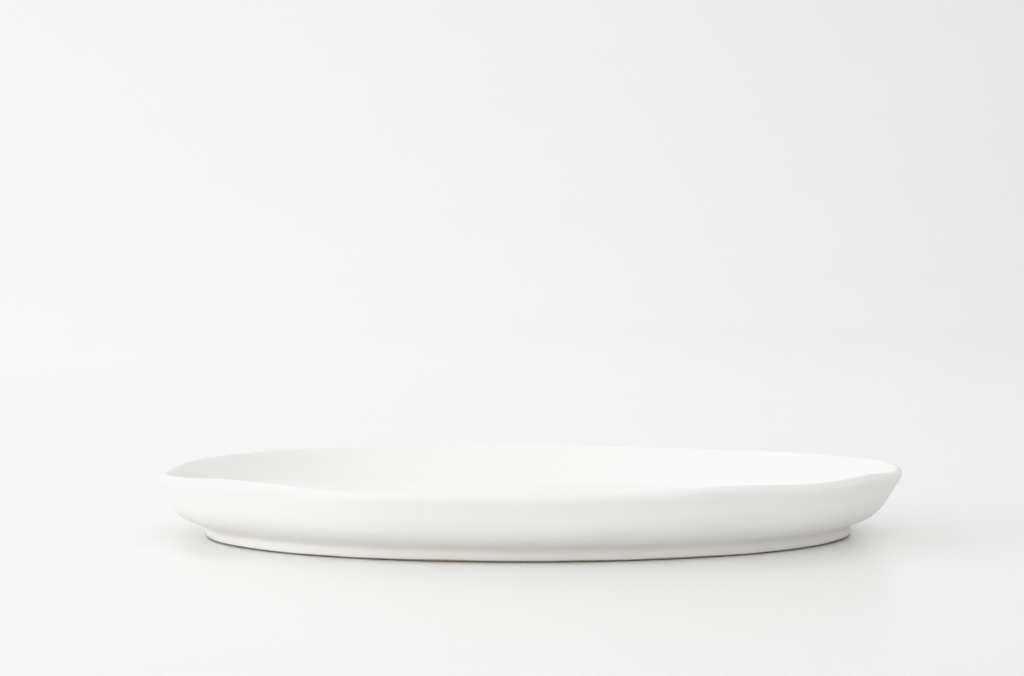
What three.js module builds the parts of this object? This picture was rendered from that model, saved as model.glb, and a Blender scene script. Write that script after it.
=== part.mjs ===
// Side plate: a round white glazed plate with a low flared wall, a gently waved
// lip and a low foot ring. Millimetres, +Z up, origin at the centre of the foot
// ring's contact plane, +X to the plate's right, -Y to its front.
import * as THREE from 'three';

// ---- driving dimensions -----------------------------------------------------
const RIM_R = 89.95;          // widest radius of the lip, before its unevenness
const LIP_Z = 16.2;           // height of the lip's crest, before its wave
const FLOOR_Z = 6.4;          // glazed floor of the well
const FLOOR_R = 69.0;         // radius of the flat part of the well
const BODY_BOTTOM = 3.1;      // underside of the clay body
const SLIP = 0.3;             // thickness of the slip between body and foot ring
const GLAZE = 0.35;           // thickness of the glaze coat
const FOOT_OUT = 78.1;        // foot ring, outside radius of the clay
const FOOT_IN = 73.0;         // foot ring, inside radius of the clay at its top
const FOOT_FLAT_OUT = 77.1;   // contact band, outside radius
const FOOT_FLAT_IN = 74.3;    // contact band, inside radius
const GLAZE_LINE = 0.5;       // height above the table where the glaze stops
const WAVE_R0 = 79.0;         // the lip's wave starts at this radius
const WAVE_R1 = 89.2;         // and is full from this one
const OUTLINE_Z0 = 7.0;       // the wall is true to the circle below this height
const OUTLINE_Z1 = 15.0;      // and follows the lip's outline fully above this one
const SEGMENTS = 72;

// The lip's wave: where each rise or dip is centred (degrees from the front,
// positive to the right), its height and its half-width in degrees.
const LIP_WAVE = [
  [-150, 0.55, 36], [-118, 0.09, 12], [-90, -1.12, 15], [-51, 0.80, 10],
  [-41, 0.45, 8], [-28, -0.21, 6], [-17, 0.30, 5], [6, -0.23, 10],
  [31, 0.67, 9], [62, 0.65, 8], [100, 0.17, 12], [150, -0.55, 28],
];
// The lip's outline in plan: order, amplitude and phase of each departure from
// the circle.
const LIP_OUTLINE = [[1, 0.30, -90], [2, 0.30, 145], [3, 0.25, 110], [5, 0.12, -80]];

// ---- the profile, radius and height -----------------------------------------
// Glazed surface from the middle of the well, over the lip, to the glaze line.
const R = (d) => RIM_R - d;
const L = (d) => LIP_Z - d;
const surface = [
  [0, FLOOR_Z], [FLOOR_R, FLOOR_Z], [74.4, FLOOR_Z + 0.12], [78.2, FLOOR_Z + 0.55],
  [81.0, 7.75], [83.2, 9.0], [84.8, 10.6], [86.0, 12.4], [86.85, 14.1],
  [R(2.55), L(0.98)], [R(2.05), L(0.3)], [R(1.35), L(0)], [R(0.66), L(0.24)], [R(0.2), L(0.76)],
  [R(0.05), L(1.45)], [89.68, 14.0], [89.3, 13.2], [88.8, 12.3], [88.02, 10.6], [87.06, 8.7], [85.82, 6.9],
  [84.2, 5.4], [82.45, 4.38], [80.8, 3.68], [79.6, 3.2], [78.95, 2.8],
];
const outside_of_foot = [
  [FOOT_OUT + GLAZE + 0.12, 2.35], [FOOT_OUT + GLAZE, 1.8], [FOOT_OUT + GLAZE, 1.05], [FOOT_OUT + 0.24, GLAZE_LINE + 0.13],
];

// Clay surface under the glaze: the same line, one coat thickness inwards.
function inset(line, t) {
  return line.map(([r, z], i) => {
    const a = line[Math.max(i - 1, 0)];
    const b = line[Math.min(i + 1, line.length - 1)];
    const dr = b[0] - a[0];
    const dz = b[1] - a[1];
    const n = Math.hypot(dr, dz);
    return [i === 0 ? 0 : r + (dz / n) * t, z - (dr / n) * t];
  });
}
const clay = inset(surface, GLAZE);
clay[0][1] = FLOOR_Z - GLAZE;
clay[1][1] = FLOOR_Z - GLAZE;
clay[clay.length - 1] = [78.65, BODY_BOTTOM];

const SLIP_BOTTOM = BODY_BOTTOM - SLIP;
const body_corner = [FOOT_OUT, BODY_BOTTOM];
const ring_corner = [FOOT_OUT, SLIP_BOTTOM];
const glaze_stop = [FOOT_OUT, GLAZE_LINE];
const body_corner_in = [FOOT_IN, BODY_BOTTOM];
const ring_corner_in = [FOOT_IN, SLIP_BOTTOM];
const glaze_stop_in = [FOOT_IN + 0.4, GLAZE_LINE];

// ---- turning and waving -----------------------------------------------------
const rad = Math.PI / 180;
const smooth = (x) => {
  const t = Math.min(1, Math.max(0, x));
  return t * t * (3 - 2 * t);
};
function lipRise(phi) {
  let sum = -0.05;
  for (const [at, height, width] of LIP_WAVE) {
    let d = phi / rad - at;
    d -= 360 * Math.round(d / 360);
    sum += height * Math.exp(-((d / width) ** 2));
  }
  return sum;
}
function lipOut(phi) {
  let sum = 0;
  for (const [order, amount, phase] of LIP_OUTLINE) sum += amount * Math.cos(order * phi + phase * rad);
  return sum;
}

// Turns a closed profile about the Z axis. The angle runs from the front (-Y)
// towards the right (+X). The wall follows the lip's wave and outline. Each
// facet's diagonal depends only on its two profile points, so two pieces that
// share a surface share its facets.
function turned(profile) {
  const line = profile.map(([r, z]) => new THREE.Vector2(r, z));
  const geometry = new THREE.LatheGeometry(line, SEGMENTS);
  const position = geometry.attributes.position;
  const count = profile.length;
  for (let i = 0; i <= SEGMENTS; i++) {
    const phi = ((i % SEGMENTS) / SEGMENTS) * 2 * Math.PI;
    const rise = lipRise(phi);
    const out = lipOut(phi);
    for (let j = 0; j < count; j++) {
      const [r, z] = profile[j];
      const rr = r + out * smooth((z - OUTLINE_Z0) / (OUTLINE_Z1 - OUTLINE_Z0));
      const zz = z + rise * smooth((r - WAVE_R0) / (WAVE_R1 - WAVE_R0));
      position.setXYZ(i * count + j, rr * Math.sin(phi), -rr * Math.cos(phi), zz);
    }
  }
  const index = [];
  for (let i = 0; i < SEGMENTS; i++) {
    for (let j = 0; j < count - 1; j++) {
      const p = profile[j];
      const q = profile[j + 1];
      const a = i * count + j;
      const b = a + count;
      const c = b + 1;
      const d = a + 1;
      if (p[0] === 0 && q[0] === 0) continue;
      if (p[0] === 0) index.push(a, c, d);
      else if (q[0] === 0) index.push(a, b, d);
      else if (p[0] < q[0] || (p[0] === q[0] && p[1] < q[1])) index.push(a, b, d, c, d, b);
      else index.push(a, b, c, a, c, d);
    }
  }
  geometry.setIndex(index);
  geometry.computeVertexNormals();
  return geometry;
}
const closed = (profile) => [...profile, profile[0]];

const group = new THREE.Group();
group.name = 'side_plate';
function add(name, profile, color, roughness) {
  const material = new THREE.MeshStandardMaterial({ color, roughness, metalness: 0 });
  const mesh = new THREE.Mesh(turned(profile), material);
  mesh.name = name;
  group.add(mesh);
}

// ---- the pieces -------------------------------------------------------------
// Clay body: flat underside, flared wall, waved lip, flat well.
add('plate_body', [
  [0, BODY_BOTTOM], body_corner_in, body_corner, ...clay.slice().reverse(),
], 0xe9e4d8, 0.85);

// Layer of slip that joins the foot ring to the body.
add('luting_slip', closed([
  ring_corner_in, ring_corner, body_corner, body_corner_in,
]), 0xd9d2c4, 0.9);

// Foot ring: bare contact band with eased edges.
add('foot_ring', closed([
  [FOOT_FLAT_IN, 0], [FOOT_FLAT_OUT, 0], [FOOT_OUT - 0.5, 0.06], [FOOT_OUT - 0.15, 0.24], glaze_stop,
  ring_corner, ring_corner_in, glaze_stop_in, [FOOT_IN + 0.56, 0.26], [FOOT_IN + 0.88, 0.07],
]), 0xcfc5b2, 0.9);

// Glaze over the well, the lip, the outer wall and the outside of the foot ring.
add('glaze_upper', [
  ...clay, body_corner, ring_corner, glaze_stop,
  ...outside_of_foot.slice().reverse(), ...surface.slice().reverse(),
], 0xf4f3ee, 0.42);

// Glaze over the recess inside the foot ring.
add('glaze_underside', [
  [0, BODY_BOTTOM - GLAZE], [FOOT_IN - 1.3, BODY_BOTTOM - GLAZE], [FOOT_IN - 0.55, BODY_BOTTOM - GLAZE - 0.25],
  [FOOT_IN - 0.3, 1.9], [FOOT_IN - 0.28, 1.1], [FOOT_IN + 0.12, GLAZE_LINE + 0.1], glaze_stop_in,
  ring_corner_in, body_corner_in, [0, BODY_BOTTOM],
], 0xf2f1eb, 0.42);

export default group;
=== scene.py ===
import math

import bpy
import numpy as np
from mathutils import Matrix, Vector, noise


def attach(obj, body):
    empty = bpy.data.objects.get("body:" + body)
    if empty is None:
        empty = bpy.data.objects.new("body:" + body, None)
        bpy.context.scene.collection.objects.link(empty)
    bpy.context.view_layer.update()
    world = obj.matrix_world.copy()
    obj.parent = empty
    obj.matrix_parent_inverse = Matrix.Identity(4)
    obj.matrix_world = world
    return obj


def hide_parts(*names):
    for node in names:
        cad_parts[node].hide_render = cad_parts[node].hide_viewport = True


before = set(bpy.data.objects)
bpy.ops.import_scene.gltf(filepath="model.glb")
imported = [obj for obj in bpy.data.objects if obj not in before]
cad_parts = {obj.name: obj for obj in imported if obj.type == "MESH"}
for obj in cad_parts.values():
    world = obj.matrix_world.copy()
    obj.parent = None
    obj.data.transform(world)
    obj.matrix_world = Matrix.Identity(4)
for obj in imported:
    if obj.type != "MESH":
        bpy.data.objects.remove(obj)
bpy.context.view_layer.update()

MM = 0.001

# ---------------------------------------------------------------- dimensions, mm
RIM_R = 89.95
LIP_Z = 16.2
FLOOR_Z = 6.4
FLOOR_R = 69.0
BODY_BOTTOM = 3.1
SLIP = 0.3
GLAZE = 0.35
FOOT_OUT = 78.1
FOOT_IN = 73.0
FOOT_FLAT_OUT = 77.1
FOOT_FLAT_IN = 74.3
GLAZE_LINE = 0.5
WAVE_R0, WAVE_R1 = 79.0, 89.2
OUTLINE_Z0, OUTLINE_Z1 = 7.0, 15.0
SEGMENTS = 384

# rises and dips of the lip: degrees from the front (+ to the right), height, half-width
LIP_WAVE = [
    (-150, 0.55, 36), (-118, 0.09, 12), (-90, -1.12, 15), (-51, 0.80, 10),
    (-41, 0.45, 8), (-28, -0.21, 6), (-17, 0.30, 5), (6, -0.23, 10),
    (31, 0.67, 9), (62, 0.65, 8), (100, 0.17, 12), (150, -0.55, 28),
]
# departures of the lip from the circle in plan: order, amplitude, phase in degrees
LIP_OUTLINE = [(1, 0.30, -90), (2, 0.30, 145), (3, 0.25, 110), (5, 0.12, -80)]


# ---------------------------------------------------------------- helpers
def smooth(x):
    t = np.clip(x, 0.0, 1.0)
    return t * t * (3.0 - 2.0 * t)


def lip_rise(phi):
    total = np.full_like(phi, -0.05)
    for at, height, width in LIP_WAVE:
        d = np.degrees(phi) - at
        d = d - 360.0 * np.round(d / 360.0)
        total = total + height * np.exp(-((d / width) ** 2))
    return total


def lip_out(phi):
    return sum(a * np.cos(o * phi + math.radians(p)) for o, a, p in LIP_OUTLINE)


def curve_through(points, step):
    """Smooth line through points (centripetal Catmull-Rom). step is the spacing in mm, or a function of (r, z) that gives it."""
    p = np.array(points, float)
    p = np.vstack([2 * p[0] - p[1], p, 2 * p[-1] - p[-2]])
    out = []
    for i in range(1, len(p) - 2):
        p0, p1, p2, p3 = p[i - 1], p[i], p[i + 1], p[i + 2]
        t0 = 0.0
        t1 = t0 + math.sqrt(np.linalg.norm(p1 - p0))
        t2 = t1 + math.sqrt(np.linalg.norm(p2 - p1))
        t3 = t2 + math.sqrt(np.linalg.norm(p3 - p2))
        spacing = step(*((p1 + p2) / 2)) if callable(step) else step
        count = max(2, int(math.ceil(np.linalg.norm(p2 - p1) / spacing)))
        for t in np.linspace(t1, t2, count, endpoint=False):
            a1 = (t1 - t) / (t1 - t0) * p0 + (t - t0) / (t1 - t0) * p1
            a2 = (t2 - t) / (t2 - t1) * p1 + (t - t1) / (t2 - t1) * p2
            a3 = (t3 - t) / (t3 - t2) * p2 + (t - t2) / (t3 - t2) * p3
            b1 = (t2 - t) / (t2 - t0) * a1 + (t - t0) / (t2 - t0) * a2
            b2 = (t3 - t) / (t3 - t1) * a2 + (t - t1) / (t3 - t1) * a3
            out.append((t2 - t) / (t2 - t1) * b1 + (t - t1) / (t2 - t1) * b2)
    out.append(p[-2])
    return np.array(out)


def inset(line, t):
    """The same line, t mm to the clay's side."""
    d = np.gradient(line, axis=0)
    d /= np.linalg.norm(d, axis=1)[:, None]
    return line + t * np.c_[d[:, 1], -d[:, 0]]


PHI = np.arange(SEGMENTS) / SEGMENTS * 2.0 * math.pi
RISE = lip_rise(PHI)
OUT = lip_out(PHI)


def rings(line, lift=None):
    """Vertex rings of a turned line: array [point, angle, xyz] in mm, with the lip's wave."""
    r = line[:, 0][:, None]
    z = line[:, 1][:, None]
    rr = r + OUT[None] * smooth((z - OUTLINE_Z0) / (OUTLINE_Z1 - OUTLINE_Z0))
    zz = z + RISE[None] * smooth((r - WAVE_R0) / (WAVE_R1 - WAVE_R0))
    xyz = np.stack([rr * np.sin(PHI)[None], -rr * np.cos(PHI)[None], zz], axis=2)
    if lift is not None:
        d = np.gradient(line, axis=0)
        d /= np.maximum(np.linalg.norm(d, axis=1), 1e-9)[:, None]
        n_r, n_z = d[:, 1][:, None], -d[:, 0][:, None]
        amount = lift(xyz)
        xyz[:, :, 0] += amount * n_r * np.sin(PHI)[None]
        xyz[:, :, 1] -= amount * n_r * np.cos(PHI)[None]
        xyz[:, :, 2] += amount * n_z
    return xyz


def solid(name, parts, ring_closed, marks=None):
    """A closed mesh from vertex rings. A ring on the axis becomes one point. marks are values per ring, kept as vertex attributes."""
    xyz = np.concatenate(parts, axis=0)
    verts, first, single = [], [], []
    for ring in xyz:
        on_axis = np.max(np.hypot(ring[:, 0], ring[:, 1])) < 1e-6
        first.append(len(verts))
        single.append(on_axis)
        if on_axis:
            verts.append((0.0, 0.0, float(ring[0, 2])))
        else:
            verts.extend(map(tuple, ring))
    faces = []
    n = len(xyz)
    for j in range(n if ring_closed else n - 1):
        k = (j + 1) % n
        a, b = first[j], first[k]
        for i in range(SEGMENTS):
            i2 = (i + 1) % SEGMENTS
            if single[j] and single[k]:
                continue
            if single[j]:
                faces.append((a, b + i2, b + i))
            elif single[k]:
                faces.append((a + i, a + i2, b))
            else:
                faces.append((a + i, a + i2, b + i2, b + i))
    mesh = bpy.data.meshes.new(name)
    mesh.from_pydata([(x * MM, y * MM, z * MM) for x, y, z in verts], [], faces)
    for mark, per_ring in (marks or {}).items():
        values = np.concatenate([np.full(1 if one else SEGMENTS, v) for one, v in zip(single, per_ring)])
        mesh.attributes.new(mark, "FLOAT", "POINT").data.foreach_set("value", values.astype(np.float32))
    mesh.validate()
    mesh.shade_smooth()
    mesh.set_sharp_from_angle(angle=math.radians(50))
    obj = bpy.data.objects.new(name, mesh)
    bpy.context.scene.collection.objects.link(obj)
    return obj


# ---------------------------------------------------------------- profile lines
def R(d):
    return RIM_R - d


def L(d):
    return LIP_Z - d


def glaze_step(r, z):
    """Close rings where the line turns sharply: over the lip and at the foot ring."""
    if z > 13.4:
        return 0.28
    if z < 3.8 and r < 82.0:
        return 0.17
    return 0.55


floor_line = np.array([(r, FLOOR_Z) for r in np.linspace(0.0, FLOOR_R, 26)])
glaze_pts = [
    (FLOOR_R - 3.0, FLOOR_Z), (FLOOR_R, FLOOR_Z), (74.4, FLOOR_Z + 0.12), (78.2, FLOOR_Z + 0.55),
    (81.0, 7.75), (83.2, 9.0), (84.8, 10.6), (86.0, 12.4), (86.85, 14.1),
    (R(2.55), L(0.98)), (R(2.05), L(0.3)), (R(1.35), L(0)), (R(0.66), L(0.24)), (R(0.2), L(0.76)),
    (R(0.05), L(1.45)), (89.68, 14.0), (89.3, 13.2), (88.8, 12.3), (88.02, 10.6), (87.06, 8.7), (85.82, 6.9),
    (84.2, 5.4), (82.45, 4.38), (80.8, 3.68), (79.6, 3.2), (78.95, 2.8),
    (FOOT_OUT + GLAZE + 0.12, 2.35), (FOOT_OUT + GLAZE, 1.8), (FOOT_OUT + GLAZE, 1.05), (FOOT_OUT + 0.24, GLAZE_LINE + 0.13),
    (FOOT_OUT, GLAZE_LINE),
]
dense = curve_through(glaze_pts, glaze_step)
dense = dense[np.argmax(dense[:, 0] >= FLOOR_R - 1e-9):]
surface_line = np.vstack([floor_line[:-1], dense])

# clay under the glaze, from the middle of the well to the crease above the foot ring
wall_end = int(np.argmin(np.hypot(surface_line[:, 0] - 78.95, surface_line[:, 1] - 2.8)))
clay_line = inset(surface_line[: wall_end + 1], GLAZE)
clay_line[: len(floor_line)] = np.c_[surface_line[: len(floor_line), 0], np.full(len(floor_line), FLOOR_Z - GLAZE)]
clay_line = np.vstack([clay_line[: len(floor_line) : 5], clay_line[len(floor_line) : -4 : 3], [(78.65, BODY_BOTTOM)]])

SLIP_BOTTOM = BODY_BOTTOM - SLIP
body_corner = (FOOT_OUT, BODY_BOTTOM)
ring_corner = (FOOT_OUT, SLIP_BOTTOM)
glaze_stop = (FOOT_OUT, GLAZE_LINE)
body_corner_in = (FOOT_IN, BODY_BOTTOM)
ring_corner_in = (FOOT_IN, SLIP_BOTTOM)
glaze_stop_in = (FOOT_IN + 0.4, GLAZE_LINE)


# ---------------------------------------------------------------- hand-made unevenness
def uneven(scale, amount, seed):
    """Slow swelling of a formed and fired surface, in mm."""
    def lift(xyz):
        flat = xyz.reshape(-1, 3)
        out = np.empty(len(flat))
        for i, (x, y, z) in enumerate(flat):
            out[i] = noise.noise(Vector((x / scale + seed, y / scale - seed, z / scale * 1.5 + 0.37 * seed)))
        return (out * amount).reshape(xyz.shape[:2])
    return lift


def glaze_lift(xyz):
    slow = uneven(26.0, 0.10, 3.1)(xyz)
    mid = uneven(9.0, 0.025, 7.7)(xyz)
    r = np.hypot(xyz[:, :, 0], xyz[:, :, 1])
    z = xyz[:, :, 2]
    calm = 0.45 + 0.55 * smooth((r - 60.0) / 20.0)
    low = smooth((z - 1.2) / 1.6)
    return (slow + mid) * calm * low


# ---------------------------------------------------------------- the pieces
def glaze_edge(xyz):
    """The lower edge of the glaze wanders a little up and down the foot ring."""
    wander = sum(a * np.cos(o * PHI + math.radians(p)) for o, a, p in ((4, 0.05, 20), (9, 0.04, 130), (17, 0.03, 250), (31, 0.02, 75)))
    near = 1.0 - smooth((xyz[:, :, 2] - GLAZE_LINE) / 0.9)
    xyz[:, :, 2] += (wander[None] - 0.14) * near
    return xyz


inner_rings = [rings(clay_line), rings(np.array([body_corner, ring_corner]))]
outer_line = surface_line[::-1].copy()
hidden = np.zeros(len(clay_line) + 2)
# a duller colour over the lip: partly thin glaze, partly painted shade that dims the highlight on the lip
thin_lip_and_painted_shade_mask = np.exp(-(((outer_line[:, 0] - R(1.0)) ** 2 + (outer_line[:, 1] - L(0.4)) ** 2) / 1.1 ** 2))
on_outside = np.arange(len(outer_line)) < len(outer_line) - int(np.argmax(surface_line[:, 1]))
# painted light: a band around the crease above the foot ring, where the glaze is made lighter and warmer to stand in
# for warm bounce light against the crease's shade
crease_light_mask = np.exp(-(((outer_line[:, 1] - 3.1) / 1.3) ** 2)) * on_outside
glaze_upper = solid(
    "glaze_coat_upper",
    [*inner_rings, glaze_edge(rings(outer_line, glaze_lift))],
    False,
    {"thin_lip_and_painted_shade": np.r_[hidden, thin_lip_and_painted_shade_mask], "crease_painted_light": np.r_[hidden, crease_light_mask]},
)

body = solid(
    "clay_body",
    [rings(np.array([(0.0, BODY_BOTTOM), (40.0, BODY_BOTTOM), body_corner_in, body_corner])), rings(clay_line[::-1].copy())],
    False,
)

slip = solid(
    "slip_seam",
    [rings(np.array([ring_corner_in, (74.2, SLIP_BOTTOM), (76.8, SLIP_BOTTOM), ring_corner,
                     body_corner, (76.8, BODY_BOTTOM), (74.2, BODY_BOTTOM), body_corner_in]))],
    True,
)

foot_out = curve_through([(FOOT_FLAT_OUT, 0.0), (FOOT_OUT - 0.5, 0.06), (FOOT_OUT - 0.15, 0.24), glaze_stop, (FOOT_OUT, 1.0)], 0.09)
foot_in = curve_through([(FOOT_FLAT_IN, 0.0), (FOOT_IN + 0.88, 0.07), (FOOT_IN + 0.56, 0.26), glaze_stop_in, (FOOT_IN + 0.31, 1.0)], 0.09)
foot = solid(
    "foot_ring_clay",
    [rings(np.vstack([
        np.array([(r, 0.0) for r in np.linspace(FOOT_FLAT_IN, FOOT_FLAT_OUT, 7)])[:-1],
        foot_out, [ring_corner], [ring_corner_in], foot_in[::-1][:-1],
    ]))],
    True,
)

under_pts = [
    (FOOT_IN - 4.0, BODY_BOTTOM - GLAZE), (FOOT_IN - 1.6, BODY_BOTTOM - GLAZE), (FOOT_IN - 0.62, BODY_BOTTOM - GLAZE - 0.22),
    (FOOT_IN - 0.3, 1.9), (FOOT_IN - 0.28, 1.1), (FOOT_IN + 0.12, GLAZE_LINE + 0.1), glaze_stop_in,
]
under_line = np.vstack([
    [(r, BODY_BOTTOM - GLAZE) for r in np.linspace(0.0, FOOT_IN - 4.0, 86)][:-1],
    curve_through(under_pts, 0.2),
])


def turning_marks(xyz):
    """Shallow rings left by the turning tool, softened by the glaze, with a slow unevenness."""
    r = np.hypot(xyz[:, :, 0], xyz[:, :, 1])
    drift = uneven(30.0, 1.4, 11.9)(xyz)
    ridges = 0.022 * np.sin(2 * math.pi * r / 4.4 + drift) * smooth((r - 3.0) / 6.0)
    return (uneven(22.0, 0.05, 5.3)(xyz) + ridges) * smooth((FOOT_IN - 1.0 - r) / 4.0)


# the same painted crease light on the underside, rising towards the inside of the foot ring
underside_crease_light = smooth((under_line[:, 0] - FOOT_IN + 2.4) / 2.0)
glaze_under = solid(
    "glaze_coat_underside",
    [rings(under_line, turning_marks), rings(np.array([ring_corner_in, body_corner_in, (0.0, BODY_BOTTOM)]))],
    False,
    {"crease_painted_light": np.r_[underside_crease_light, 0.0, 0.0, 0.0]},
)

for piece, node, slot in (
    (glaze_upper, "glaze_upper", "white_glaze"),
    (glaze_under, "glaze_underside", "white_glaze_under"),
    (body, "plate_body", "clay_body"),
    (slip, "luting_slip", "clay_slip"),
    (foot, "foot_ring", "bare_clay"),
):
    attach(piece, "root")
    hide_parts(node)


# ---------------------------------------------------------------- materials
class Nodes:
    """Short helper for node trees."""

    def __init__(self, name):
        self.material = bpy.data.materials.new(name)
        self.material.use_nodes = True
        self.tree = self.material.node_tree
        self.tree.nodes.clear()
        self.out = self.add("ShaderNodeOutputMaterial")
        self.bsdf = self.add("ShaderNodeBsdfPrincipled")
        self.link(self.bsdf.outputs["BSDF"], self.out.inputs["Surface"])
        self.coord = self.add("ShaderNodeTexCoord").outputs["Object"]

    def add(self, kind, **inputs):
        node = self.tree.nodes.new(kind)
        for key, value in inputs.items():
            node.inputs[key.replace("_", " ")].default_value = value
        return node

    def link(self, a, b):
        self.tree.links.new(a, b)

    def noise(self, scale, detail=3.0, rough=0.55):
        node = self.add("ShaderNodeTexNoise", Scale=scale, Detail=detail, Roughness=rough)
        self.link(self.coord, node.inputs["Vector"])
        return node.outputs["Fac"]

    def ramp(self, fac, stops):
        node = self.add("ShaderNodeValToRGB")
        ramp = node.color_ramp
        while len(ramp.elements) < len(stops):
            ramp.elements.new(0.5)
        for element, (at, colour) in zip(ramp.elements, stops):
            element.position = at
            element.color = (*colour, 1.0) if len(colour) == 3 else colour
        self.link(fac, node.inputs["Fac"])
        return node.outputs["Color"]

    def span(self, fac, low, high, from_low=0.3, from_high=0.7):
        node = self.add("ShaderNodeMapRange")
        node.inputs["From Min"].default_value = from_low
        node.inputs["From Max"].default_value = from_high
        node.inputs["To Min"].default_value = low
        node.inputs["To Max"].default_value = high
        self.link(fac, node.inputs["Value"])
        return node.outputs["Result"]

    def mix(self, fac, a, b, mode="MIX"):
        node = self.add("ShaderNodeMix")
        node.data_type = "RGBA"
        node.blend_type = mode
        if isinstance(fac, float):
            node.inputs[0].default_value = fac
        else:
            self.link(fac, node.inputs[0])
        for socket, value in ((node.inputs[6], a), (node.inputs[7], b)):
            if isinstance(value, tuple):
                socket.default_value = (*value, 1.0)
            else:
                self.link(value, socket)
        return node.outputs[2]

    def bump(self, height, strength, distance, normal=None):
        node = self.add("ShaderNodeBump", Strength=strength, Distance=distance)
        self.link(height, node.inputs["Height"])
        if normal is not None:
            self.link(normal, node.inputs["Normal"])
        return node.outputs["Normal"]


def glaze_material(name, white, cream, marks):
    """White glaze: cloudy tone, a lighter and warmer white painted into the crease and over the foot ring as painted
    bounce light against their shade, a duller lip that is partly thin glaze and partly painted shade dimming its
    highlight, satin gloss, faint peel.
    """
    n = Nodes(name)
    tone = n.ramp(n.noise(38.0, 2.0), [(0.35, cream), (0.65, white)])
    for mark, most, colour in marks:
        where = n.add("ShaderNodeAttribute")
        where.attribute_name = mark
        tone = n.mix(n.span(where.outputs["Fac"], 0.0, most, 0.0, 1.0), tone, colour)
    n.link(tone, n.bsdf.inputs["Base Color"])
    n.link(n.span(n.noise(140.0, 3.0), 0.40, 0.48), n.bsdf.inputs["Roughness"])
    peel = n.bump(n.noise(420.0, 2.0), 0.25, 0.00004)
    n.link(n.bump(n.noise(900.0, 2.0), 0.12, 0.00001, peel), n.bsdf.inputs["Normal"])
    n.bsdf.inputs["Specular IOR Level"].default_value = 0.36
    return n.material


def clay_material(name, light, dark, bump):
    n = Nodes(name)
    speck = n.noise(1400.0, 2.0)
    cloud = n.noise(90.0, 3.0)
    base = n.ramp(cloud, [(0.3, dark), (0.7, light)])
    fleck = n.ramp(speck, [(0.36, (0.55, 0.5, 0.42)), (0.46, (1.0, 1.0, 1.0))])
    n.link(n.mix(0.45, base, fleck, "MULTIPLY"), n.bsdf.inputs["Base Color"])
    n.link(n.span(cloud, 0.78, 0.92), n.bsdf.inputs["Roughness"])
    n.link(n.bump(speck, 0.5, bump), n.bsdf.inputs["Normal"])
    return n.material


def dress(obj, material):
    obj.data.materials.clear()
    obj.data.materials.append(material)


# painted light: a lighter, warmer white in the crease and on the foot ring, standing in for warm bounce light against
# their shade
CREASE_LIGHT_TINT = ("crease_painted_light", 0.9, (0.945, 0.915, 0.86))
# the lip colour is partly thin glaze and partly painted shade dimming the lip's highlight
dress(glaze_upper, glaze_material("white_glaze", (0.885, 0.882, 0.858), (0.872, 0.867, 0.838), [("thin_lip_and_painted_shade", 0.8, (0.835, 0.821, 0.793)), CREASE_LIGHT_TINT]))
dress(glaze_under, glaze_material("white_glaze_underside", (0.88, 0.873, 0.838), (0.865, 0.855, 0.816), [CREASE_LIGHT_TINT]))
dress(body, clay_material("biscuit_clay", (0.80, 0.76, 0.68), (0.74, 0.70, 0.62), 0.00005))
dress(slip, clay_material("slip_clay", (0.68, 0.63, 0.54), (0.62, 0.57, 0.48), 0.00005))
# unglazed clay of the foot ring, made far darker than the body's clay as painted contact shade along the line where the
# foot meets the floor
dress(foot, clay_material("foot_clay_with_painted_shade", (0.42, 0.37, 0.29), (0.34, 0.295, 0.23), 0.00006))


# ---------------------------------------------------------------- floor and backdrop
def stage_bowl():
    """Level floor that curves up all round into a plain backdrop."""
    flat, bend = 1.6, 3.5
    section = [(r, 0.0) for r in (0.0, 0.05, 0.1, 0.2, 0.4, 0.8, 1.2, flat)]
    section += [(flat + bend * math.sin(a), bend - bend * math.cos(a)) for a in np.radians(np.linspace(0, 62, 40))[1:]]
    count = 128
    verts, faces = [(0.0, 0.0, 0.0)], []
    for r, z in section[1:]:
        for i in range(count):
            a = 2 * math.pi * i / count
            verts.append((r * math.cos(a), r * math.sin(a), z))
    for i in range(count):
        faces.append((0, 1 + i, 1 + (i + 1) % count))
    for j in range(len(section) - 2):
        a, b = 1 + j * count, 1 + (j + 1) * count
        for i in range(count):
            k = (i + 1) % count
            faces.append((a + i, b + i, b + k, a + k))
    mesh = bpy.data.meshes.new("studio_floor")
    mesh.from_pydata(verts, [], faces)
    mesh.shade_smooth()
    obj = bpy.data.objects.new("studio_floor", mesh)
    obj.location = (0.0, 0.0, -0.00002)
    bpy.context.scene.collection.objects.link(obj)
    n = Nodes("studio_paper")
    n.link(n.ramp(n.noise(3.0, 2.0), [(0.3, (0.875, 0.875, 0.87)), (0.7, (0.885, 0.885, 0.88))]), n.bsdf.inputs["Base Color"])
    n.bsdf.inputs["Roughness"].default_value = 0.24
    n.bsdf.inputs["Specular IOR Level"].default_value = 0.5
    dress(obj, n.material)
    return obj


stage_bowl()


# ---------------------------------------------------------------- light
def area(name, where, aim, size, watts, colour=(1.0, 1.0, 1.0), mirrored=True, spread=180.0):
    """Soft square light, or a rectangle if size is a pair, facing aim. One that isn't mirrored leaves no glare on the floor."""
    where, aim = Vector(where), Vector(aim)
    light = bpy.data.lights.new(name, "AREA")
    if isinstance(size, tuple):
        light.shape = "RECTANGLE"
        light.size, light.size_y = size
    else:
        light.shape = "SQUARE"
        light.size = size
    light.energy = watts
    light.color = colour
    light.spread = math.radians(spread)
    obj = bpy.data.objects.new(name, light)
    obj.location = where
    obj.rotation_euler = (aim - where).to_track_quat("-Z", "Y").to_euler()
    obj.visible_camera = False
    obj.visible_glossy = mirrored
    bpy.context.scene.collection.objects.link(obj)
    return obj


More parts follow.
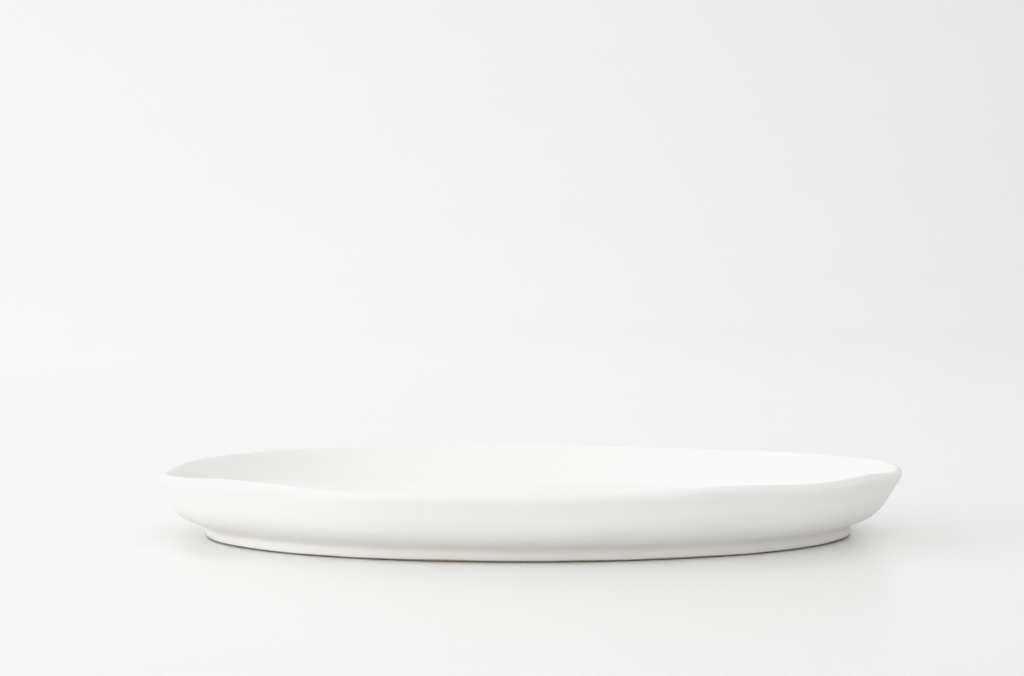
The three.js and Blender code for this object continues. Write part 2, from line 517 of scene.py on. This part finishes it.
def around(azimuth, elevation, distance):
    """A point about the plate. Azimuth runs from +X towards +Y, so 180 is the left and 270 the front."""
    a, e = math.radians(azimuth), math.radians(elevation)
    return (math.cos(a) * math.cos(e) * distance, math.sin(a) * math.cos(e) * distance, math.sin(e) * distance)


# soft daylight from the left, in two low panels and a high one, with weaker fills in front and on the right
COOL, WARM = (0.985, 1.0, 1.015), (1.0, 0.997, 0.985)
area("key_left", around(180, 17, 0.8), (0.0, 0.0, 0.0), (0.4, 0.28), 0.32, COOL, False, 90.0)
area("key_front", around(215, 15, 0.8), (0.0, 0.0, 0.0), (0.4, 0.28), 0.27, COOL, False, 90.0)
area("key_high", around(205, 50, 0.8), (0.0, 0.0, 0.0), 0.4, 0.46, COOL)
area("front", around(262, 12, 2.2), (0.0, 0.0, 0.0), 1.6, 10.0, WARM, False)
area("fill_right", around(315, 38, 2.2), (0.0, 0.0, 0.0), 1.4, 6.8, WARM, False)
area("fill_high", around(0, 63, 2.2), (0.0, 0.0, 0.0), 1.4, 5.8)
# light for the floor behind and for the backdrop only
area("floor_behind", (-0.45, 0.6, 0.6), (-0.45, 0.6, 0.0), (1.3, 0.6), 1.4)
area("floor_behind_left", (-0.8, 0.7, 0.7), (-0.4, 0.7, 0.0), 0.6, 0.9)
area("backdrop_left", (-1.2, 1.2, 1.0), (-0.3, 3.5, 0.6), 1.2, 12.3)
area("backdrop_top", (-0.45, 2.4, 2.2), (-0.45, 3.4, 0.5), (2.0, 1.0), 13.2)
world = bpy.data.worlds.new("studio_world")
world.use_nodes = True
world.node_tree.nodes["Background"].inputs["Color"].default_value = (1.0, 1.0, 1.0, 1.0)
world.node_tree.nodes["Background"].inputs["Strength"].default_value = 0.617
bpy.context.scene.world = world
bpy.context.scene.view_settings.view_transform = "Standard"
bpy.context.scene.view_settings.look = "None"
# the brightest tones roll off softly, as on film, and all below them stay as they are
film = bpy.context.scene.view_settings.curve_mapping
film.clip_max_x = 2.0
film.extend = "HORIZONTAL"
tones = film.curves[3].points
tones[1].location = (1.0, 0.955)
for at, value in ((0.90, 0.90), (1.2, 0.982), (2.0, 1.0)):
    tones.new(at, value)
for point in tones:
    point.handle_type = "VECTOR" if point.location[0] < 0.95 else "AUTO_CLAMPED"
film.update()
bpy.context.scene.view_settings.use_curve_mapping = True

# ---------------------------------------------------------------- camera
cam_data = bpy.data.cameras.new("camera")
cam_data.sensor_width = 36.0
cam_data.lens = 115.37
cam_data.clip_start = 0.01
cam_data.clip_end = 30.0
cam = bpy.data.objects.new("camera", cam_data)
cam.location = (-0.00375, -0.800, 0.06913)
cam.rotation_euler = (
    Matrix.Rotation(math.radians(90.0 - 1.552), 3, "X") @ Matrix.Rotation(-0.0023, 3, "Z")
).to_euler()
bpy.context.scene.collection.objects.link(cam)
bpy.context.scene.camera = cam
